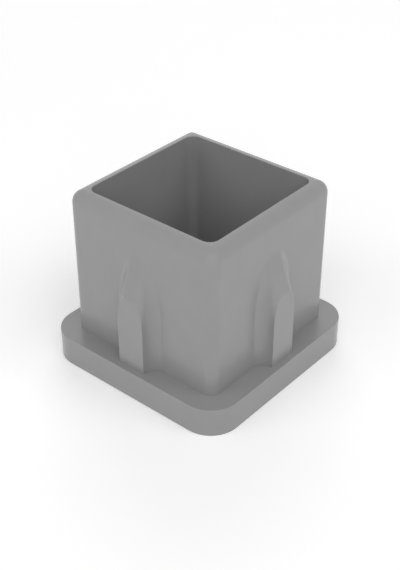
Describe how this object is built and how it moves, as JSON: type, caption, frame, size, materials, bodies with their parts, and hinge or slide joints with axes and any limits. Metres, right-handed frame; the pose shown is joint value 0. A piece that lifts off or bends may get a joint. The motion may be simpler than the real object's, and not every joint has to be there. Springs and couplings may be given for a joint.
{
  "type": "tube end cap",
  "caption": "Push-in end cap for a square tube: a flat flange covers the tube's end, and a hollow square spigot with a flared, sloping rib on each side grips the bore.",
  "frame": {"origin": "middle of the flange's outer face, on which the cap rests", "axes": "+Z along the cap's axis, from the flange's outer face to the open end of the spigot; X and Y are square to the flange's sides, and each rib faces along one of them"},
  "size_m": [0.025, 0.025, 0.0213],
  "materials": {
    "moulded_plastic": "fine satin, as moulded"
  },
  "bodies": {
    "root": {"end_cap": "moulded_plastic"}
  },
  "joints": []
}
